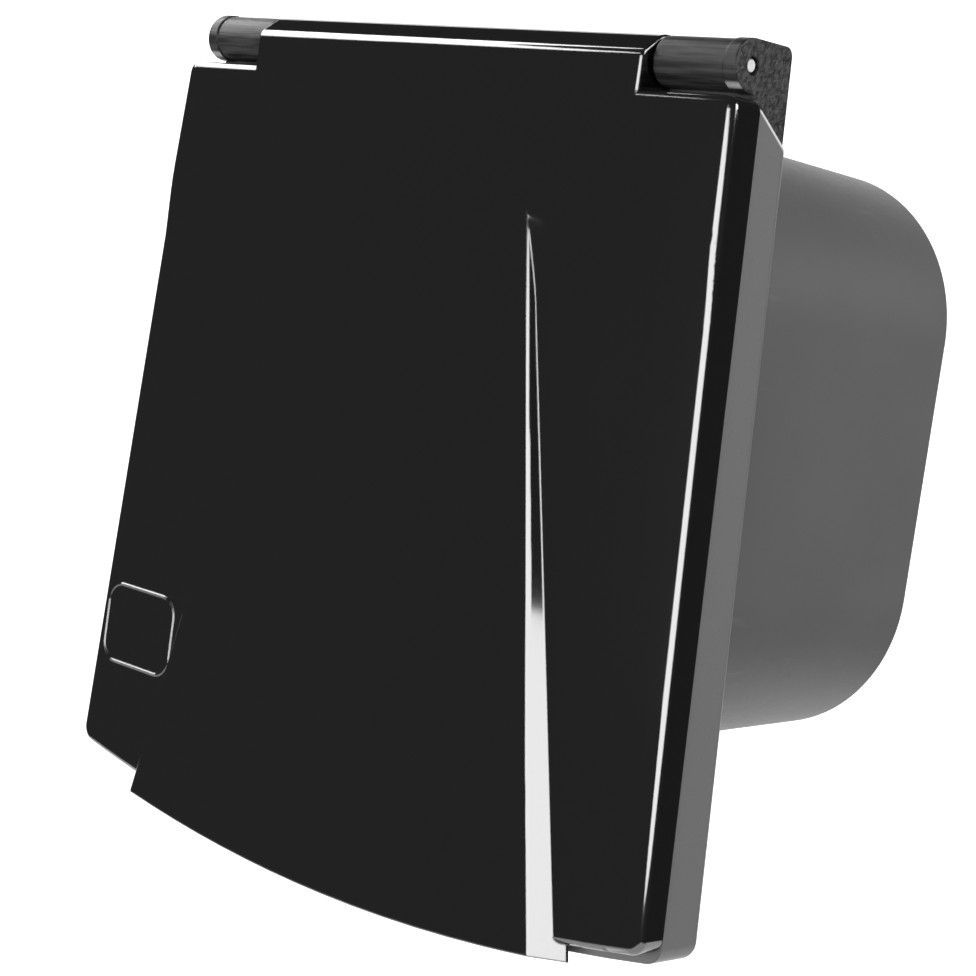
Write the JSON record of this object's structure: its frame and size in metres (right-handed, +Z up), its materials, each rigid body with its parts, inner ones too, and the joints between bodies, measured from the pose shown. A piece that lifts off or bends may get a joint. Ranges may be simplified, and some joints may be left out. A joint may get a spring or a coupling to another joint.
{
  "type": "outdoor caravan socket",
  "caption": "Flush outdoor socket for a caravan wall: sprung flip lid, mounting frame, earthed socket insert with safety shutter, and a deep back box",
  "frame": {"origin": "centre of the wall cut-out, on the wall's outer face", "axes": "+X to the right seen from the front, +Y into the wall, +Z up"},
  "size_m": [0.1124, 0.0721, 0.1172],
  "materials": {
    "gloss_black": "gloss",
    "satin_black": "satin",
    "box_black": "satin",
    "insert_grey": "satin",
    "carrier_white": "satin",
    "shutter_white": "satin",
    "foam": "matte",
    "seal_rubber": "matte",
    "zinc_steel": "satin",
    "pin_steel": "polished",
    "brass": "satin"
  },
  "bodies": {
    "housing": {"mounting_frame": "satin_black", "wall_gasket": "foam", "back_box": "box_black", "box_seal": "seal_rubber", "box_screws": "zinc_steel", "socket_body": "insert_grey", "insert_screws": "zinc_steel", "shutter_cover": "insert_grey", "terminal_base": "carrier_white", "contact_left": "brass", "contact_right": "brass", "earth_strap": "brass", "terminal_screws": "zinc_steel", "base_screws": "zinc_steel", "cable_grommet": "seal_rubber", "cord_clamp": "satin_black", "clamp_screws": "zinc_steel", "hinge_pin": "pin_steel", "lid_spring": "pin_steel"},
    "lid": {"lid": "gloss_black", "lid_seal": "seal_rubber"},
    "shutter": {"shutter": "shutter_white"}
  },
  "joints": [
    {"name": "lid_hinge", "type": "hinge", "parent": "housing", "child": "lid", "pos_m": [0, -0.0073, 0.04786], "axis": [-1, 0, 0], "range_deg": [0, 110], "stiffness_Nm_per_rad": 0.012, "springref_deg": -34.38, "deforming": ["lid_spring"]},
    {"name": "shutter_turn", "type": "hinge", "parent": "housing", "child": "shutter", "pos_m": [0, 0.0134, 0], "axis": [0, 1, 0], "range_deg": [0, 40], "stiffness_Nm_per_rad": 0.002, "springref_deg": -17.19}
  ]
}
